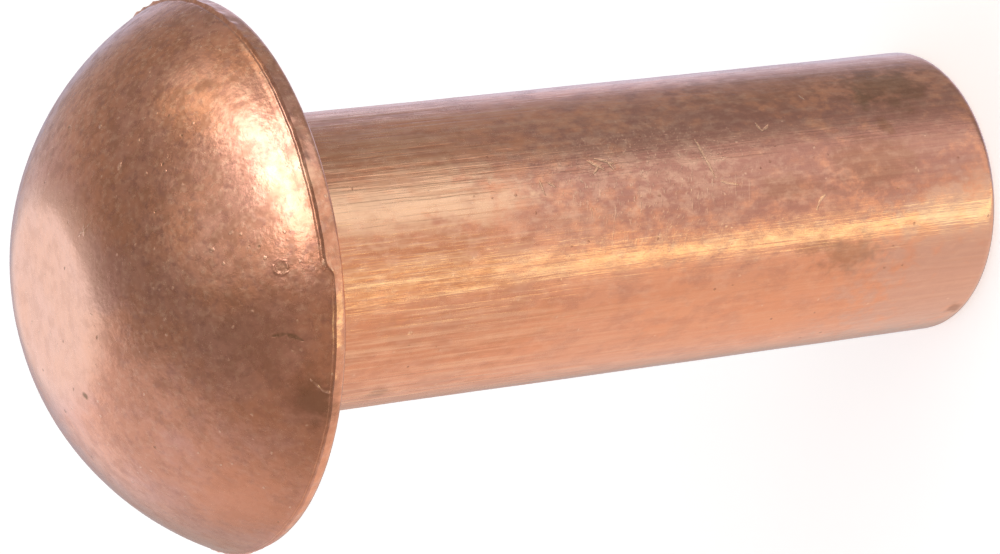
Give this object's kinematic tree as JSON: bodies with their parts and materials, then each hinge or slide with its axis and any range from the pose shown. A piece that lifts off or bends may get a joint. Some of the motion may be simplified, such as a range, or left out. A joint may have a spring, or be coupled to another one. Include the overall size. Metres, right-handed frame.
{
  "type": "round head rivet",
  "caption": "Solid copper rivet with a domed round head and a straight cylindrical shank, as supplied and not yet set.",
  "frame": {"origin": "centre of the shank's cut end, on which the rivet stands", "axes": "+Z along the shank's axis, from the cut end to the crown of the head; +X and +Y are any two square directions, because the rivet is round"},
  "size_m": [0.011, 0.011, 0.0206],
  "materials": {
    "copper": "bare copper, satin, mottled by light tarnish and handling, with fine drawing lines along the shank"
  },
  "bodies": {
    "root": {"rivet": "copper"}
  },
  "joints": []
}
